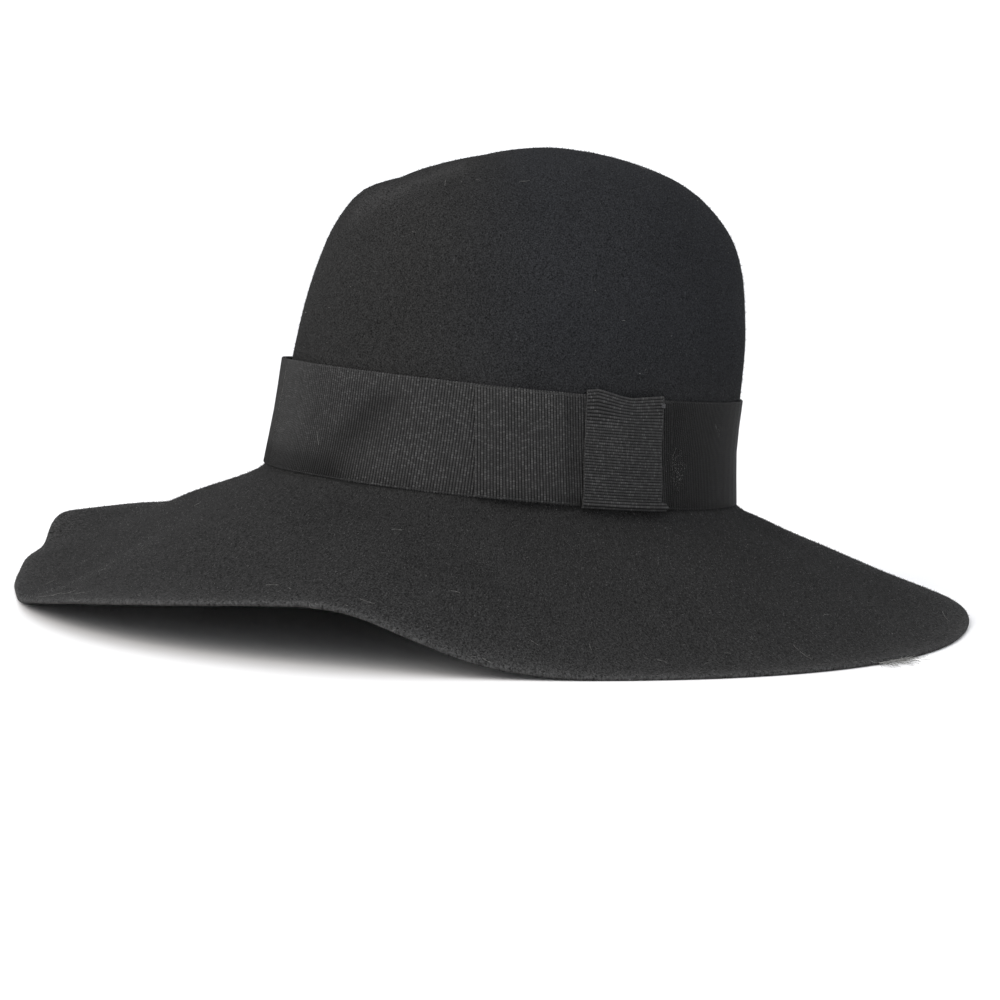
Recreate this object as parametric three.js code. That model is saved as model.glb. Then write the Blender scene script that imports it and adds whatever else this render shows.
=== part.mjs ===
// A wide-brim felt fedora with a ribbed ribbon round the crown and a flat bow on its left side.
// Millimetres, +Z up. It rests on z = 0. The wearer's front is -Y and the wearer's left is +X.
// Azimuths are in degrees, seen from above: 0 is the front, 90 the left side, 180 the back.

import * as THREE from "three";

// Felt body
const FELT = 2; // wall of the crown and brim
const AROUND = 80; // columns of the mesh round the hat
const EDGE_ROUNDING = 0.8; // how far the brim's cut edge bulges
const JUNCTION_UP = 47.8; // where the crown's wall meets the brim, above the floor
const CROWN_TILT = 3.6; // degrees that the crown leans back on the brim
const CROWN_BACK = 9; // how far the crown's axis lies behind the middle of the brim
const FILLET_UP = 4; // how far the soft corner between crown and brim reaches up the wall
const FILLET_OUT = 8; // and how far out on the brim

// The crown, from its tip down to the brim. Each row is one oval section: how far it reaches to the
// front, back and side of the crown's axis, and how high it lies there above the junction.
const CROWN_SECTIONS = [
  { front: -6, frontUp: 143, back: 6, backUp: 143, side: 0, sideUp: 143 },
  { front: 14, frontUp: 141, back: 26, backUp: 141.5, side: 18, sideUp: 141.5 },
  { front: 31, frontUp: 136, back: 46, backUp: 137.5, side: 34, sideUp: 137.5 },
  { front: 48, frontUp: 131, back: 65, backUp: 130.5, side: 48, sideUp: 132 },
  { front: 61, frontUp: 123, back: 79, backUp: 121, side: 60, sideUp: 123 },
  { front: 74, frontUp: 116, back: 89, backUp: 110, side: 70, sideUp: 111 },
  { front: 82, frontUp: 104, back: 94, backUp: 96, side: 76, sideUp: 97 },
  { front: 87, frontUp: 88, back: 96, backUp: 81, side: 80, sideUp: 81 },
  { front: 91, frontUp: 69, back: 97, backUp: 63, side: 83, sideUp: 63 },
  { front: 94, frontUp: 48, back: 97, backUp: 45, side: 84, sideUp: 45 },
  { front: 97, frontUp: 25, back: 96, backUp: 25, side: 85, sideUp: 25 },
  { front: 102, frontUp: 0, back: 99, backUp: 0, side: 86, sideUp: -1 },
];

// A shallow crease along the top of the crown, and one soft hand dent high on the left side. aside is
// the crease's deepest line, right of the middle, and leftHalf and rightHalf are its half widths.
// lastFullRow and endRow are the places in CROWN_SECTIONS between which the crease dies out.
const CREASE = {
  depth: 10.5,
  aside: -21,
  leftHalf: 19,
  rightHalf: 10.5,
  front: -82,
  back: 50,
  fade: 34,
  lastFullRow: 3.5,
  endRow: 6.5,
};
const HAND_DENT = { azimuth: 68, up: 112, depth: 2.5, reach: 24 };

// The brim's edge. reach is from the middle of the brim, and up is the underside's height above the
// floor: where it is below zero the felt is pressed flat on the floor. root and lip are the brim's
// downward slopes in degrees where it leaves the crown and at its edge.
const BRIM_EDGE = [
  { azimuth: 0, reach: 196, up: 6, root: 23, lip: 12 },
  { azimuth: 19, reach: 201, up: 15, root: 23, lip: 8 },
  { azimuth: 33, reach: 200, up: 20, root: 22, lip: 4 },
  { azimuth: 46, reach: 197, up: 22, root: 22, lip: 4 },
  { azimuth: 60, reach: 191, up: 4.6, root: 28, lip: 26 },
  { azimuth: 79, reach: 188, up: -1.5, root: 30, lip: 7 },
  { azimuth: 110, reach: 192, up: -1.5, root: 30, lip: 7 },
  { azimuth: 140, reach: 198, up: -1, root: 26, lip: 10 },
  { azimuth: 154, reach: 203.6, up: 2, root: 22, lip: 17 },
  { azimuth: 180, reach: 204, up: 3, root: 20, lip: 18 },
  { azimuth: 210, reach: 199, up: -1.5, root: 24, lip: 6 },
  { azimuth: 240, reach: 190, up: -1.5, root: 28, lip: 7 },
  { azimuth: 270, reach: 187, up: 11, root: 22, lip: 12 },
  { azimuth: 290, reach: 193, up: 20, root: 18, lip: 4 },
  { azimuth: 303, reach: 198, up: 19.6, root: 18, lip: 0 },
  { azimuth: 310, reach: 200, up: 17.5, root: 18, lip: 0 },
  { azimuth: 318, reach: 195.5, up: 7, root: 20, lip: 16 },
  { azimuth: 330, reach: 193, up: 1, root: 22, lip: 10 },
  { azimuth: 343, reach: 190.2, up: -1.5, root: 23, lip: 6 },
];
const BRIM_ROWS = 10;
const BRIM_ROW_CROWDING = 1.6; // above 1, the rows lie closer together towards the edge
const FILLET_STOPS = [0, 0.35, 0.65, 1]; // where the mesh's rows lie along the soft corner
const FINE_ROWS_TO = 4; // down to this section the rows are half a section apart, for the crease

// Ribbon of the band, the bow's loop and the keeper
const RIBBON = 0.9;
const RIBBON_WIDTH = 43;
const BAND_UP = 2.4; // bottom edge of the ribbon, above the junction
const SIDE_DIP = 0.9; // how much lower the ribbon runs at the sides than at front and back
const BAND_ROWS = 4;
const GAP = 0.3; // clearance between pieces that touch
const WALL_SEARCH_STEP = 1e-6; // how closely a height on the wall is found, in sections
const SAME_POINT = 1e-6; // points closer together than this are one

// How far the band stands off the felt, at its bottom and its top edge.
const BAND_STANDOFF = [
  { azimuth: 0, bottom: 0.8, top: 3 },
  { azimuth: 60, bottom: 0.8, top: 1.2 },
  { azimuth: 120, bottom: 0.7, top: 0.4 },
  { azimuth: 240, bottom: 0.7, top: 0.4 },
  { azimuth: 300, bottom: 0.8, top: 2.4 },
  { azimuth: 335, bottom: 0.8, top: 3.6 },
];

// The bow's pieces by the azimuths of their ends at the bottom edge. lean is how many degrees round
// the hat a piece's top edge lies from its bottom edge. The loop's two plies end at fold, and its one
// ply runs on under the keeper to its end. puff is how far a piece swells out, and trim is how much
// narrower the loop is at each edge. The keeper reaches under the ribbon's lower edge by under, and
// over its upper edge by over, at even steps from the keeper's front end to its back end. lip is the
// folded edge at its foot, over that share of its height.
const LOOP = { from: 57.3, fold: 79, to: 107.5, lean: -4.5, puff: 1.6, trim: 0.4, columns: 22 };
const KEEPER = {
  from: 81.6,
  to: 102.7,
  lean: -3.1,
  puff: 1.1,
  over: [1.6, 2.4, 1.4, 0.35, -0.15, 0.4, 0.95, 1.45],
  under: 0.1,
  lip: 1.4,
  lipShare: 0.16,
  columns: 14,
  rows: 8,
};

const radians = THREE.MathUtils.degToRad;
const smooth = (x, low, high) => THREE.MathUtils.smoothstep(x, low, high);

// A table's column as a smooth function of azimuth that closes on itself.
function aroundTable(rows, column) {
  const last = rows.length - 1;
  const turn = (index) => Math.floor(index / rows.length) * 360;
  const row = (index) => rows[((index % rows.length) + rows.length) % rows.length];
  const at = (index) => row(index).azimuth + turn(index);
  const slope = (index) =>
    (row(index + 1)[column] - row(index - 1)[column]) / (at(index + 1) - at(index - 1));
  return (azimuth) => {
    const angle = ((azimuth - rows[0].azimuth) % 360 + 360) % 360 + rows[0].azimuth;
    let index = last;
    while (at(index) > angle) index -= 1;
    const span = at(index + 1) - at(index);
    const t = (angle - at(index)) / span;
    return hermite(row(index)[column], row(index + 1)[column], slope(index) * span,
      slope(index + 1) * span, t);
  };
}

function hermite(start, end, startSlope, endSlope, t) {
  const t2 = t * t;
  const t3 = t2 * t;
  return start * (2 * t3 - 3 * t2 + 1) + end * (3 * t2 - 2 * t3)
    + startSlope * (t3 - 2 * t2 + t) + endSlope * (t3 - t2);
}

// One point of the crown's outer face. row is a place in CROWN_SECTIONS and may lie between two.
function crownPoint(azimuth, row) {
  const last = CROWN_SECTIONS.length - 1;
  const index = Math.min(Math.floor(row), last - 1);
  const column = (name) => {
    const value = (i) => CROWN_SECTIONS[THREE.MathUtils.clamp(i, 0, last)][name];
    const slope = (i) => {
      // The crown is level at its very tip.
      if (i === 0 && name.endsWith("Up")) return 0;
      return (value(i + 1) - value(i - 1)) / (i === 0 || i === last ? 1 : 2);
    };
    return hermite(value(index), value(index + 1), slope(index), slope(index + 1), row - index);
  };
  const angle = radians(azimuth);
  const middle = (column("back") - column("front")) / 2;
  const half = (column("back") + column("front")) / 2;
  const ahead = (1 + Math.cos(angle)) / 2;
  const endUp = column("frontUp") * ahead + column("backUp") * (1 - ahead);
  const x = column("side") * Math.sin(angle);
  const y = middle - half * Math.cos(angle);
  const up = THREE.MathUtils.lerp(column("sideUp"), endUp, Math.cos(angle) ** 2);
  return new THREE.Vector3(x, y, up - creaseDepth(x, y, row));
}

function creaseDepth(x, y, row) {
  const along = smooth(y, CREASE.front, CREASE.front + CREASE.fade)
    * (1 - smooth(y, CREASE.back - CREASE.fade, CREASE.back));
  const onTop = 1 - smooth(row, CREASE.lastFullRow, CREASE.endRow);
  const half = x > CREASE.aside ? CREASE.leftHalf : CREASE.rightHalf;
  return CREASE.depth * Math.exp(-(((x - CREASE.aside) / half) ** 2)) * along * onTop;
}

// The crown leans back about the X axis and stands on the brim's junction.
function stand(point) {
  return point.applyAxisAngle(new THREE.Vector3(1, 0, 0), radians(-CROWN_TILT))
    .add(new THREE.Vector3(0, CROWN_BACK, JUNCTION_UP));
}

const edgeReach = aroundTable(BRIM_EDGE, "reach");
const edgeUp = aroundTable(BRIM_EDGE, "up");
const rootSlope = aroundTable(BRIM_EDGE, "root");
const lipSlope = aroundTable(BRIM_EDGE, "lip");

// Rows of the crown's wall, as places in CROWN_SECTIONS: finer at the tip.
const wallRows = [];
for (let row = 0; row < CROWN_SECTIONS.length - 1; row += row < FINE_ROWS_TO ? 0.5 : 1) {
  wallRows.push(row);
}

// One column of the felt's upper face: tip, wall, soft corner, brim, edge.
function feltColumn(azimuth) {
  const last = CROWN_SECTIONS.length - 1;
  const corner = stand(crownPoint(azimuth, last));
  const wall = wallRows.map((row) => stand(crownPoint(azimuth, row)));
  const angle = radians(azimuth);
  const edge = new THREE.Vector3(Math.sin(angle), -Math.cos(angle), 0)
    .multiplyScalar(edgeReach(azimuth)).setZ(edgeUp(azimuth) + FELT);
  const run = Math.hypot(edge.x - corner.x, edge.y - corner.y);
  const brim = (t) => corner.clone().lerp(edge, t).setZ(hermite(corner.z, edge.z,
    -run * Math.tan(radians(rootSlope(azimuth))), -run * Math.tan(radians(lipSlope(azimuth))), t));
  const above = wall.at(-1).clone().sub(corner).setLength(FILLET_UP).add(corner);
  const out = brim(FILLET_OUT / run);
  const bend = FILLET_STOPS.map((t) =>
    above.clone().lerp(corner, t).lerp(corner.clone().lerp(out, t), t));
  const flat = Array.from({ length: BRIM_ROWS }, (_, i) => {
    const place = 1 - (1 - (i + 1) / BRIM_ROWS) ** BRIM_ROW_CROWDING;
    return brim(THREE.MathUtils.lerp(FILLET_OUT / run, 1, place));
  });
  return [...wall, ...bend, ...flat];
}

// Unit normals of a grid that closes on itself from column to column.
function gridNormals(grid) {
  const columns = grid.length;
  return grid.map((column, i) => column.map((_, j) => {
    const next = grid[(i + 1) % columns][j];
    const before = grid[(i + columns - 1) % columns][j];
    const below = column[Math.min(j + 1, column.length - 1)];
    const above = column[Math.max(j - 1, 0)];
    if (j === 0 && next.distanceTo(before) < SAME_POINT) return new THREE.Vector3(0, 0, 1);
    return below.clone().sub(above).cross(next.clone().sub(before)).normalize();
  }));
}

function dented(grid, normals) {
  const centre = stand(new THREE.Vector3(0, 0, HAND_DENT.up));
  const angle = radians(HAND_DENT.azimuth);
  const direction = new THREE.Vector3(Math.sin(angle), -Math.cos(angle), 0);
  return grid.map((column, i) => column.map((point, j) => {
    const aside = point.clone().sub(centre);
    const outward = aside.dot(direction);
    const distance = aside.addScaledVector(direction, -outward).length();
    const depth = outward > 0 ? HAND_DENT.depth * Math.exp(-((distance / HAND_DENT.reach) ** 2)) : 0;
    return point.clone().addScaledVector(normals[i][j], -depth);
  }));
}

// A closed body between an outer and an inner grid of the same size. Its columns close on
// themselves where wraps is true, and its rim is the row of points beyond the grids' last rows.
function shell(outer, inner, wraps, rim) {
  const triangles = [];
  const same = (a, b) => a.distanceTo(b) < SAME_POINT;
  const triangle = (a, b, c) => {
    if (!same(a, b) && !same(b, c) && !same(c, a)) triangles.push(a, b, c);
  };
  const quad = (a, b, c, d) => {
    triangle(a, b, c);
    triangle(a, c, d);
  };
  const columns = outer.length;
  const rows = outer[0].length;
  for (let i = 0; i < (wraps ? columns : columns - 1); i += 1) {
    const k = (i + 1) % columns;
    for (let j = 0; j < rows - 1; j += 1) {
      quad(outer[i][j], outer[i][j + 1], outer[k][j + 1], outer[k][j]);
      quad(inner[i][j], inner[k][j], inner[k][j + 1], inner[i][j + 1]);
    }
    quad(outer[i][0], outer[k][0], inner[k][0], inner[i][0]);
    const end = rows - 1;
    if (rim) {
      quad(outer[i][end], rim[i], rim[k], outer[k][end]);
      quad(rim[i], inner[i][end], inner[k][end], rim[k]);
    } else {
      quad(outer[i][end], inner[i][end], inner[k][end], outer[k][end]);
    }
  }
  if (!wraps) {
    for (let j = 0; j < rows - 1; j += 1) {
      quad(outer[0][j], inner[0][j], inner[0][j + 1], outer[0][j + 1]);
      const z = columns - 1;
      quad(outer[z][j], outer[z][j + 1], inner[z][j + 1], inner[z][j]);
    }
  }
  return new THREE.BufferGeometry().setFromPoints(triangles);
}

const around = Array.from({ length: AROUND }, (_, i) => (i * 360) / AROUND);

function feltBody() {
  const plain = around.map(feltColumn);
  const lying = (point, lowest) => point.clone().setZ(Math.max(point.z, lowest));
  const outer = dented(plain, gridNormals(plain)).map((column) =>
    column.map((point) => lying(point, FELT)));
  const normals = gridNormals(outer);
  const inner = outer.map((column, i) => column.map((point, j) => {
    const under = point.clone().addScaledVector(normals[i][j], -FELT);
    // The pole of the inner face is one shared point.
    if (j === 0) return point.clone().setZ(point.z - FELT);
    return j >= wallRows.length ? lying(under, 0) : under;
  }));
  const rim = outer.map((column, i) => {
    const end = column.length - 1;
    const outward = column[end].clone().sub(column[end - 1]).setLength(EDGE_ROUNDING);
    return column[end].clone().lerp(inner[i][end], 0.5).add(outward);
  });
  return shell(outer, inner, true, rim);
}

// The crown's outer face at a height above the junction, and the outward level direction there.
function wallAt(azimuth, up) {
  let low = Math.ceil(CREASE.endRow);
  let high = CROWN_SECTIONS.length - 1;
  while (high - low > WALL_SEARCH_STEP) {
    const middle = (low + high) / 2;
    if (crownPoint(azimuth, middle).z > up) low = middle;
    else high = middle;
  }
  const point = crownPoint(azimuth, low);
  const step = crownPoint(azimuth + 0.5, low).sub(crownPoint(azimuth - 0.5, low));
  const outward = new THREE.Vector3(-step.y, step.x, 0).normalize();
  if (outward.dot(point) < 0) outward.negate();
  return { point, outward };
}

// A face of ribbon on the crown: topUp gives its top edge by azimuth, and distance is how far the
// face lies off the felt.
function ribbonGrid(azimuths, rows, bottomUp, topUp, lean, distance) {
  return azimuths.map((azimuth) => Array.from({ length: rows + 1 }, (_, j) => {
    const v = 1 - j / rows;
    const place = azimuth + lean * v;
    const dip = SIDE_DIP * Math.sin(radians(place)) ** 2;
    const up = THREE.MathUtils.lerp(bottomUp, topUp(azimuth), v) - dip;
    const { point, outward } = wallAt(place, up);
    return stand(point.addScaledVector(outward, distance(place, v, azimuth)));
  }));
}

const bottomStandoff = aroundTable(BAND_STANDOFF, "bottom");
const topStandoff = aroundTable(BAND_STANDOFF, "top");
const bandInner = (azimuth, v) =>
  THREE.MathUtils.lerp(bottomStandoff(azimuth), topStandoff(azimuth), v);
const bandTop = BAND_UP + RIBBON_WIDTH;

function hatBand() {
  const layer = (distance) =>
    ribbonGrid(around, BAND_ROWS, BAND_UP, () => bandTop, 0, distance);
  return shell(layer((a, v) => bandInner(a, v) + RIBBON), layer(bandInner), true);
}

const fromTo = (from, to, steps) =>
  Array.from({ length: steps + 1 }, (_, i) => THREE.MathUtils.lerp(from, to, i / steps));

// Two plies left of the keeper, puffed in the middle, and one ply where the keeper holds it.
const loopInner = (azimuth, v) => bandInner(azimuth, v) + RIBBON + GAP;
function loopPly(azimuth) {
  const along = THREE.MathUtils.clamp((azimuth - LOOP.from) / (LOOP.fold - LOOP.from), 0, 1);
  return RIBBON + LOOP.puff * Math.sqrt(Math.max(Math.sin(Math.PI * along), 0));
}

function bowLoop() {
  const layer = (distance) => ribbonGrid(fromTo(LOOP.from, LOOP.to, LOOP.columns), BAND_ROWS,
    BAND_UP + LOOP.trim, () => bandTop - LOOP.trim, LOOP.lean, distance);
  return shell(layer((a, v, column) => loopInner(a, v) + loopPly(column)), layer(loopInner), false);
}

// The keeper lies over the loop's one ply, and its bottom edge is folded out into a small lip.
function keeperInner(azimuth, v) {
  return loopInner(azimuth, v) + RIBBON + GAP;
}

function keeperTop(azimuth) {
  const last = KEEPER.over.length - 1;
  const place = ((azimuth - KEEPER.from) / (KEEPER.to - KEEPER.from)) * last;
  const index = THREE.MathUtils.clamp(Math.floor(place), 0, last - 1);
  return bandTop
    + THREE.MathUtils.lerp(KEEPER.over[index], KEEPER.over[index + 1], place - index);
}

function bowKeeper() {
  const thickness = (azimuth, v) => {
    const across = (azimuth - KEEPER.from) / (KEEPER.to - KEEPER.from);
    const puff = KEEPER.puff * Math.sin(Math.PI * across) * Math.sin(Math.PI * v);
    return RIBBON + Math.max(puff, 0) + KEEPER.lip * (1 - smooth(v, 0, KEEPER.lipShare));
  };
  const layer = (distance) => ribbonGrid(fromTo(KEEPER.from, KEEPER.to, KEEPER.columns),
    KEEPER.rows, BAND_UP - KEEPER.under, keeperTop, KEEPER.lean, distance);
  return shell(layer((a, v, column) => keeperInner(a, v) + thickness(column, v)),
    layer(keeperInner), false);
}

const felt = new THREE.MeshStandardMaterial({ color: 0x303032, roughness: 1, metalness: 0 });
const ribbon = new THREE.MeshStandardMaterial({ color: 0x37373a, roughness: 0.75, metalness: 0 });

function named(name, geometry, material) {
  geometry.computeVertexNormals();
  const mesh = new THREE.Mesh(geometry, material.clone());
  mesh.name = name;
  return mesh;
}

const hat = new THREE.Group();
hat.add(
  named("felt_body", feltBody(), felt),
  named("hat_band", hatBand(), ribbon),
  named("bow_loop", bowLoop(), ribbon),
  named("bow_keeper", bowKeeper(), ribbon),
);

// The frame's origin is on the floor below the middle of the brim.
const middle = new THREE.Box3().setFromObject(hat).getCenter(new THREE.Vector3());
hat.position.set(-middle.x, -middle.y, 0);

export default hat;
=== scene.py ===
import math
import random

import bmesh
import bpy
import numpy as np
from mathutils import Matrix, Vector, noise
from mathutils.bvhtree import BVHTree


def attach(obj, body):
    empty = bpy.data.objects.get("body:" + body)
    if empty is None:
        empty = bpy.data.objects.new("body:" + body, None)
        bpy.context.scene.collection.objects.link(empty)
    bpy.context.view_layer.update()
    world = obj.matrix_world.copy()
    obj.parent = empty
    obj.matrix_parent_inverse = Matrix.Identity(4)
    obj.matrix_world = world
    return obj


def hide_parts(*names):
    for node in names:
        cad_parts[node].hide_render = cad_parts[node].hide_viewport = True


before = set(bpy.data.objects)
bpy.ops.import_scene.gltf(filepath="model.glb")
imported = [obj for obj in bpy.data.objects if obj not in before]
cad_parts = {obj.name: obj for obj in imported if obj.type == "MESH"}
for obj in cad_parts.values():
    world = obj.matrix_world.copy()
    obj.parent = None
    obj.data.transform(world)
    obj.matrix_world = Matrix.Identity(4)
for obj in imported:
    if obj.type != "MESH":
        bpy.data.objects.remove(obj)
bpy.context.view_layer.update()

bl_info = {
    "name": "Wide-brim felt fedora",
    "version": (1, 0, 0),
    "blender": (4, 5, 0),
    "location": "View3D > Sidebar > Fedora",
    "description": "Dresses the packed hat with wool felt, a grosgrain band and a flat bow",
    "category": "Object",
}

BODY = "root"
MM = 0.001
WELD = 0.01 * MM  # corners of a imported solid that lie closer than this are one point

# The crown's own frame: its foot stands on the brim and the crown leans back.
CROWN_FOOT = Vector((-1.0 * MM, 5.45 * MM, 47.8 * MM))
CROWN_LEAN = math.radians(3.6)
CROWN = Matrix.Translation(CROWN_FOOT) @ Matrix.Rotation(-CROWN_LEAN, 4, "X")

# The oval of the crown where the ribbon lies: height above the foot, and how far it reaches to
# the front, the back and the side of the crown's axis.
OVAL_HEIGHTS = (0.0, 25 * MM, 48 * MM)
OVAL_FRONT = (102 * MM, 97 * MM, 94 * MM)
OVAL_BACK = (99 * MM, 96 * MM, 97 * MM)
OVAL_SIDE = (86 * MM, 85 * MM, 84 * MM)
SIDE_DIP = 0.9 * MM  # how much lower the ribbon runs at the sides
SEARCH = 25 * MM  # how far outside the ribbon a probe starts, and how far inside it ends
FINE_STEPS = 1441  # points on the oval by which lengths round it are measured

# The ribbon, in the crown's frame. Azimuths are in degrees, 0 at the front and 90 at the left, and
# a lean is how many degrees further round an edge at the top lies than at the bottom.
RIBBON_WIDTH = 43 * MM
BAND_FOOT = 2.4 * MM
BAND_LEAN = -1.2
BAND_KEEP = 0.1 * MM  # how far inside its solid's edges the band's edges lie
LOOP_FROM, LOOP_FOLD, LOOP_TO, LOOP_LEAN = 57.3, 79.0, 107.5, -4.5
LOOP_TRIM = 0.4 * MM
KEEPER_FROM, KEEPER_TO, KEEPER_LEAN = 81.6, 102.7, -3.1
KEEPER_UNDER = 0.1 * MM
KEEPER_COLUMNS = 25
# How far the keeper reaches over the ribbon's upper edge, at even steps from its front end, and the
# shares of its height between which its ribs begin to follow that edge.
KEEPER_OVER = np.array([1.6, 2.4, 1.4, 0.35, -0.15, 0.4, 0.95, 1.45]) * MM
KEEPER_SAG = (0.72, 1)
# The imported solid's folded lip at the keeper's foot: how far it stands out and its share of the
# height.
PACKED_LIP, PACKED_LIP_SHARE = 1.4 * MM, 0.16
# A narrow roll is laid there instead, with a groove above it. Each has its middle and half width as
# shares of the height. The groove is so many mm deep, and deepens by more between two places along
# the keeper, 0 being its front end and 1 its back end.
ROLL_MIDDLE, ROLL_WIDTH, ROLL_OUT = 0.030, 0.028, 1.7 * MM
GROOVE_MIDDLE, GROOVE_WIDTH = 0.088, 0.014
GROOVE_DEPTH, GROOVE_MORE, GROOVE_DEEPENS = 0.2, 0.6, (0.6, 0.95)
# The roll spreads past the keeper's back end and draws in at its front end: by how many mm and with
# what power that grows, and the shares of the height between which it dies out.
FLARE_BACK, FLARE_BACK_POWER = 2.2, 6
FLARE_FRONT, FLARE_FRONT_POWER = 0.9, 8
FLARE_ENDS = (0.045, 0.085)
# How far inside a solid's ends, in degrees, and above its foot the finer ribbon ends.
EDGE_KEEP, FOOT_KEEP = 0.35, 0.15 * MM
BACK_DEPTH = 0.8 * MM  # how far the sheet's hidden face lies behind the solid's outer face
EDGE_SINK = 0.2 * MM  # how much deeper the ribs' ends and the woven edges lie
KEEPER_SINK = 0.1 * MM  # the same for the keeper's edges
SHEET_ROWS, RIB_POINTS = 10, 9  # rows of points on a sheet, and points on a rib between its ends
CORD_SIDES = 6
TONES = 997  # how many different tones a rib can have

# A crushed diagonal fold in the band, left of the bow, along which shade is painted as well: the
# azimuth of its middle at the ribbon's foot and how much further round it is at the top, its half
# width at the top and the foot, and the shares of the height between which it dies out above and
# deepens below.
FOLD_FOOT, FOLD_SWEEP = 12.0, 25.5
FOLD_TOP_WIDTH, FOLD_FOOT_WIDTH = 5.0, 12.5
FOLD_ENDS, FOLD_DEEPENS = (0.74, 0.92), (0.0, 0.25)

# How much shade is painted on the ribbon, which darkens it and takes away its glints, from 0 where
# there is none to about 1. A pair of azimuths, or of shares of the height for CORNER_TOP, says
# between which places the painted shade comes or ends. The band is painted in shade in the fold, in
# the corner below it, and left of it, where there is more of it at the far left.
FOLD_SHADE, CORNER_SHADE, LEFT_SHADE, LEFT_MORE = 0.70, 1.1, 0.40, 0.38
SHADE_COMES = (-80, -50)
CORNER_TOP, CORNER_ENDS = (0.1, 0.40), (18, 31)
LEFT_ENDS, LEFT_MORE_ENDS = (8, 30), (-28, -8)
# Behind the bow the band is painted in shade too, and so is the loop's single ply in the keeper's
# shade, from a little before the loop's fold, in degrees.
BEHIND_SHADE, BEHIND_COMES, BEHIND_ENDS = 1.1, (98, 106), (170, 240)
PLY_SHADE, PLY_MORE, PLY_MORE_COMES, PLY_MARGIN = 0.4, 0.6, (103, 106), 0.6

# The smooth quads of the felt: the steepest fold and skew of two triangles that are joined, and the
# angle of a kept edge, how sharp it stays, and how many times the quads are subdivided.
QUAD_FOLD, QUAD_SKEW = math.radians(60), math.radians(120)
KEPT_EDGE, KEPT_SHARPNESS = math.radians(28), 0.35
SUBDIVISIONS = 2

# Where the brim ends and the crown begins, as heights. The nap changes there at one height, and it
# begins above the strip that lies on the floor. What lies there isn't made uneven.
BRIM_TO_CROWN = (50 * MM, 60 * MM)
NAP_CHANGE, NAP_BEGINS = 52 * MM, 1.9 * MM
LIES_TO_FREE = (1 * MM, 8 * MM)

# Waves of the worn felt: the length of the large and the small ones, and the small ones' share.
LARGE_WAVE, SMALL_WAVE, SMALL_SHARE = 26 * MM, 7 * MM, 0.35

# How much paler the felt is, from rubbed wear and, at the brim's cut edge and rim and on the crown's
# near ridge, from painted light as well: all over the brim, and at its cut edge and its rim with the
# distance over which each fades. The near ridge of the crown is rubbed and painted lighter along a
# line.
RUBBED_BRIM, RUBBED_LIT_EDGE, RUBBED_LIT_RIM = 0.06, (0.8, 4 * MM), (0.35, 22 * MM)
LIT_RUBBED_RIDGE = [Vector(p) * MM for p in
                ((19, -35, 178), (16, -47, 173), (15, -59, 168), (1, -67, 160))]
RIDGE_RUBBED_AND_LIT, RIDGE_WIDTH = 0.5, 6 * MM
SECTORS = 180  # of the brim, in which its edge is looked for

# A cool cast of painted light grows over these heights and azimuths, and fades again over the last
# ones.
COOL_HEIGHTS, COOL_COMES, COOL_ENDS = (60 * MM, 120 * MM), (30, 80), (140, 175)

# Soft dents in the brim: ends seen from above, half width and height.
BRIM_DENTS = (((46, -92), (112, -62), 9, -1.0), ((-125, -150), (-154, -86), 12, 0.9))

# Soft swells of the felt: the middle of each, its half width and its height.
SWELLS = (
    ((1, -59, 169), 16, 2.3),
    ((-22, -79, 118), 26, 0.8),
    ((57.5, 78.8, 113), 15, 1.5),
    ((51, 76, 152), 15, 1.1),
    ((53, 101, 36), 15, 1.7),
    ((-76, -105, 36), 28, 1.9),
    ((-151, -125, 21), 12, 2.0),
    ((-136, -143, 12.5), 13, -2.4),
    ((-112, -160, 5.5), 11, 1.6),
)

# The brim's grain is as wide as the crown's at this distance from the middle. It is longer outward
# and down than it is wide, by these factors.
BRUSHED_RADIUS = 150 * MM
BRUSHED_OUT, BRUSHED_DOWN = 2.6, 2.0
OUTWARD_SHARE = 0.6  # what facing outward counts next to facing up, where the outer face is told

# The standing fibres of crown and brim: the piece, its material, how far the fibres' tones differ,
# its seed, how far the fibres lean over and how wide they are.
NAPS = (("crown_nap", "wool_fibre", 0.8, 5, 1.15, 1.0),
        ("brim_nap", "rubbed_wool_fibre", 0.9, 6, 1.3, 1.4))

# Loose hairs on the felt: where each starts, in mm, its heading seen from above, length and bend.
HAIRS = (
    ((-3, -197, 9), 4, 13, 14),
    ((6, -195.5, 10), 62, 5, 30),
    ((11, -193.5, 11), 30, 6, -50),
    ((15, -192.5, 12), 85, 4, 25),
    ((24, -193, 13), 12, 5, 30),
    ((131, -128, 25), 15, 6, 40),
    ((77, -88, 42), 95, 4, -50),
    ((163, -100, 8), 87, 4, 20),
    ((167, -25, 4), 56, 3.6, -25),
    ((160, 40, 6), -9, 14, 12),
    ((101, 157, 5), -34, 14, 20),
    ((42.5, -19, 174), 68, 4, 10),
    ((137, -137, 24), 20, 1.5, 0),
    ((67, -186, 19), 60, 1.4, 0),
    ((165, -29, 5), 30, 1.3, 0),
    ((80, 8, 122), 80, 1.4, 0),
    ((33, -61, 153), 10, 1.6, 0),
    ((180, 37, 2), 0, 1.6, 60),
    ((181, 38.5, 2), 70, 1.6, 60),
)
HAIR_STEPS, HAIR_LIFT, HAIR_SIDES = 8, 0.10 * MM, 4

# Hairs at random places: most bend, least and greatest length in mm, how often one is kept where
# the felt isn't rubbed, and how high above the floor they begin.
STRAY_BEND, STRAY_LENGTH, STRAY_SHARE, STRAY_UP = 70, (1.5, 6.0), 0.25, 2.5 * MM

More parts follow.
